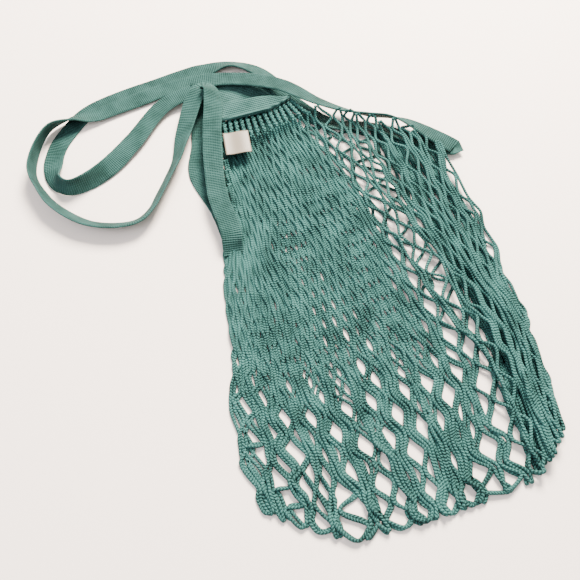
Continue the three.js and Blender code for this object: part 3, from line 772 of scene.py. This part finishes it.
def chain_stitch_cotton(name, hollow, high):
    material, shader = new_material(name)
    run = add_node(material, "ShaderNodeAttribute", {"attribute_name": "run"})
    axes = add_node(material, "ShaderNodeSeparateXYZ", _0=run.outputs["Vector"])
    side = add_node(material, "ShaderNodeMath", {"operation": "ABSOLUTE"}, _0=axes.outputs["X"])
    slant = add_node(material, "ShaderNodeMath", {"operation": "MULTIPLY"}, _0=side.outputs[0], _1=chain_slant)
    turns = add_node(material, "ShaderNodeMath", {"operation": "MULTIPLY_ADD"},
                     _0=axes.outputs["Z"], _1=2 * math.pi / chain_pitch, _2=slant.outputs[0])
    loops = add_node(material, "ShaderNodeMath", {"operation": "SINE"}, _0=turns.outputs[0])
    place = add_node(material, "ShaderNodeTexCoord").outputs["Object"]
    fluff = add_node(material, "ShaderNodeTexNoise", Vector=place, Scale=cord_fluff_per_metre, Detail=3)
    patch = add_node(material, "ShaderNodeTexNoise", Vector=place, Scale=cord_patch_per_metre, Detail=2)
    height = add_node(material, "ShaderNodeMath", {"operation": "MULTIPLY_ADD"},
                      _0=fluff.outputs["Fac"], _1=cord_fluff_share, _2=loops.outputs[0])
    # The tone mixes painted shade between the loops with uneven dye.
    tone = add_node(material, "ShaderNodeMath", {"operation": "MULTIPLY_ADD"},
                    _0=loops.outputs[0], _1=painted_loop_shade, _2=patch.outputs["Fac"])
    tint = add_node(material, "ShaderNodeValToRGB", _0=tone.outputs[0])
    set_stops(tint, [(0.15, hollow), (0.85, high)])
    bump = add_node(material, "ShaderNodeBump", Height=height.outputs[0], Strength=0.8, Distance=stitch_depth)
    material.node_tree.links.new(tint.outputs["Color"], shader.inputs["Base Color"])
    material.node_tree.links.new(bump.outputs["Normal"], shader.inputs["Normal"])
    shader.inputs["Roughness"].default_value = cotton_roughness
    shader.inputs["Specular IOR Level"].default_value = cotton_glint
    return material


# The cord gives the eye small V-shaped loops, with painted shade between them and lighter on them, without a glint.
net_cotton = chain_stitch_cotton("chain_stitch_cotton_cord", "#112B29", "#40716D")
print("cord finish:", net_cotton.name, "with", len(net_cotton.node_tree.nodes), "nodes")

# %% [markdown]
# The laid lines become cords. Curves with a round bevel could make them, but on a mesh of rings every point can
# say how far round and along the cord it lies, for the stitches. Six sides are enough for a cord of 3 mm.

# %% The cords as tubes
cord_sides = 6
spiral = 14  # millimetres of cord in which its stitches turn by one radian


def cord_tubes(name, paths):
    """All the cords of one layer in one mesh. Each path is a line of points, and its ends are closed."""
    angles = np.arange(cord_sides) * 2 * math.pi / cord_sides
    all_points, all_run, faces = [], [], []
    start = 0
    for path in paths:
        tangent = np.gradient(path, axis=0)
        tangent /= np.maximum(np.linalg.norm(tangent, axis=1, keepdims=True), 1e-9)
        side = np.cross(tangent, UP)
        side /= np.maximum(np.linalg.norm(side, axis=1, keepdims=True), 1e-6)
        top = np.cross(side, tangent)
        along = np.concatenate([[0], np.cumsum(np.linalg.norm(np.diff(path, axis=0), axis=1))])
        round_it = side[:, None] * np.cos(angles)[:, None] + top[:, None] * np.sin(angles)[:, None]
        all_points.append((path[:, None] + cord_radius * round_it).reshape(-1, 3))
        turned = angles[None] + along[:, None] / spiral
        length = np.broadcast_to(along[:, None] * MM, turned.shape)
        all_run.append(np.stack([np.cos(turned), np.sin(turned), length], -1).reshape(-1, 3))
        count = len(path)
        ring = np.arange(count - 1)[:, None] * cord_sides + start
        this = np.arange(cord_sides)[None]
        after = (this + 1) % cord_sides
        quad = [ring + this, ring + after, ring + cord_sides + after, ring + cord_sides + this]
        faces.extend(np.stack(quad, -1).reshape(-1, 4).tolist())
        end = start + (count - 1) * cord_sides
        faces.append([start + k for k in reversed(range(cord_sides))])
        faces.append([end + k for k in range(cord_sides)])
        start += count * cord_sides
    piece = mesh_piece(name, np.concatenate(all_points), faces, net_cotton, np.concatenate(all_run))
    print(name, len(paths), "cords,", 2 * len(faces), "triangles")
    return piece


def cord_path(layer, cord):
    return points[layer, cord, first_sample[layer, cord]:]


def rounded(left, right, reach=4):
    """Joins two cords at the hem and takes the corner out of their turn, in six light steps."""
    path = np.concatenate([left, right[-2::-1]])
    turn = slice(len(left) - 1 - reach, len(left) + reach)
    for _ in range(6):
        path[turn] += 0.3 * (path[turn.start - 1:turn.stop - 1] + path[turn.start + 1:turn.stop + 1] - 2 * path[turn])
    return path


for layer, name in enumerate(("net_front_layer", "net_back_layer")):
    # Two cords of the last joint are one cord that turns at the hem.
    paths = [rounded(cord_path(layer, c), cord_path(layer, c + 1)) for c in range(1, cords - 1, 2)]
    if layer == 0:
        paths += [np.concatenate([cord_path(0, c), cord_path(1, c)[::-1]]) for c in (0, cords - 1)]
    piece = cord_tubes(name, paths)
    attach(piece, "root")
    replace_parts(piece, "net")

# %% [markdown]
# Two bands of the same cotton, knitted in a fine rib, finish the mouth. The front one is a curved wedge that lies
# over the tops of the cords and ends in a point under the right tape. The back one is a straight strip. A box cut
# to shape would look stiff, so each band is swept from left to right, with a profile that rolls at its seam.

# %% Mouth bands
# The bands give the eye soft upright ribs with painted shade between them, a little lighter than the tape. Their
# stitches are drawn at 2.6 by 2.1 mm, coarser than the real ones, so that they show at this distance.
band_cotton = knitted_cotton("rib_knitted_cotton_band", 2.6 * MM, 2.1 * MM, "#1D3C39", "#406662")
band_step = 3  # millimetres between two places of the sweep
# Left to right: x, seam, edge at the mouth, in millimetres
front_band_rows = [
    (-50, -4, 23), (-38, -5, 22), (-20, -6, 20), (-1, -6, 18.5), (14, -3.5, 15), (27, 1, 9), (36, 5, 7.5),
]
back_band_rows = [(-50, 26, 62), (-30, 26, 66), (-12, 26, 66), (8, 24, 62), (20, 20, 52), (30, 14, 38)]


def knitted_band(name, rows, seat, thick):
    """A strip between two edges, a little domed, with its seam edge rolled round."""
    line = smooth_line(rows, band_step)
    across = np.array([0, 0.02, 0.06, 0.1, 0.13, 0.17, 0.3, 0.5, 0.7, 0.88, 0.96, 1])
    rise = np.array([0.1, 1.1, 1.6, 1.5, 1.1, 0.8, 0.9, 1.0, 1.0, 1.05, 0.8, 0.1])
    profile = [(a, r) for a, r in zip(across, rise)] + [(a, 0.0) for a in across[::-1]]
    made, run = [], []
    for x, low, high in line:
        for a, r in profile:
            made.append((x, low + (high - low) * a, seat + thick * r))
            run.append((x * MM, (low + (high - low) * a) * MM, 0))
    n = len(profile)
    faces = [list(range(n)), [len(made) - 1 - k for k in range(n)]]
    for k in range(0, len(made) - n, n):
        for c in range(n):
            faces.append((k + c, k + n + c, k + n + (c + 1) % n, k + (c + 1) % n))
    piece = mesh_piece(name, made, faces, band_cotton, run)
    bpy.context.view_layer.objects.active = piece
    piece.select_set(True)
    bpy.ops.object.mode_set(mode="EDIT")
    bpy.ops.mesh.select_all(action="SELECT")
    bpy.ops.mesh.normals_make_consistent(inside=False)
    bpy.ops.object.mode_set(mode="OBJECT")
    piece.select_set(False)
    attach(piece, "root")
    print(name, "is", rows[-1][0] - rows[0][0], "mm long,", len(made), "points")
    return piece


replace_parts(knitted_band("front_mouth_band", front_band_rows, seat=14.3, thick=1.8), "front_band")
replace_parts(knitted_band("back_mouth_band", back_band_rows, seat=0.2, thick=1.8), "back_band")

# %% [markdown]
# Satin ribbon is woven of smooth threads, which give it a soft shine. A plain wave across the ribbon stands for
# them, and its shine comes from a middling roughness and a little sheen.

# %% Satin finish
threads_per_metre = 260  # as a wave counts them: one thread in 1.2 mm, far coarser than real satin, so that it shows
satin_roughness = 0.45
satin_sheen = 0.2
# The ribbon gives the eye a pale cream patch with a soft shine and faint threads across it.
label_satin, label_shader = new_material("cream_satin_ribbon")
place = add_node(label_satin, "ShaderNodeTexCoord").outputs["Object"]
thread = add_node(label_satin, "ShaderNodeTexWave", {"bands_direction": "Y"},
                  Vector=place, Scale=threads_per_metre, Distortion=0.6)
cloth = add_node(label_satin, "ShaderNodeValToRGB", _0=thread.outputs["Fac"])
set_stops(cloth, [(0.0, "#645A4D"), (1.0, "#786F61")])
thread_bump = add_node(label_satin, "ShaderNodeBump", Height=thread.outputs["Fac"], Strength=0.25, Distance=0.15 * MM)
label_satin.node_tree.links.new(cloth.outputs["Color"], label_shader.inputs["Base Color"])
label_satin.node_tree.links.new(thread_bump.outputs["Normal"], label_shader.inputs["Normal"])
label_shader.inputs["Roughness"].default_value = satin_roughness
label_shader.inputs["Sheen Weight"].default_value = satin_sheen
print("label finish:", label_satin.name)

# %% [markdown]
# The label is a piece of this ribbon, sewn to the net beside the armhole tape. A flat box would show straight
# edges. So it starts as a flat grid, is curled a little as ribbon is, and gets its thickness from Solidify.

# %% Label
label_size = (27, 31)
label_place = (-39, -38.3, 14.4)
label_turn = -9  # degrees
ribbon_thick = 0.5
end_curl, ripple = 0.9, 0.5  # millimetres up at the near end, and across the ribbon
bpy.ops.object.select_all(action="DESELECT")
bpy.ops.mesh.primitive_grid_add(x_subdivisions=18, y_subdivisions=20, size=1)
label = bpy.context.object
label.name = "satin_label"
label.data.materials.append(label_satin)
turn = math.radians(label_turn)
for vertex in label.data.vertices:
    across, along = vertex.co.x * label_size[0], vertex.co.y * label_size[1]
    # The near end curls up, and the far end a third as much down.
    curl = end_curl * (2 * vertex.co.y) ** 4 * (1 if vertex.co.y < 0 else -0.3) + ripple * math.sin(across * 0.24)
    vertex.co = Vector((
        label_place[0] + across * math.cos(turn) - along * math.sin(turn),
        label_place[1] + across * math.sin(turn) + along * math.cos(turn),
        label_place[2] + curl,
    )) * MM
solidify = label.modifiers.new("ribbon_thickness", "SOLIDIFY")
solidify.thickness = ribbon_thick * MM
bpy.ops.object.modifier_apply(modifier="ribbon_thickness")
label.data.shade_smooth()
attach(label, "root")
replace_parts(label, "label")
print("label", label_size, "mm,", len(label.data.vertices), "points")
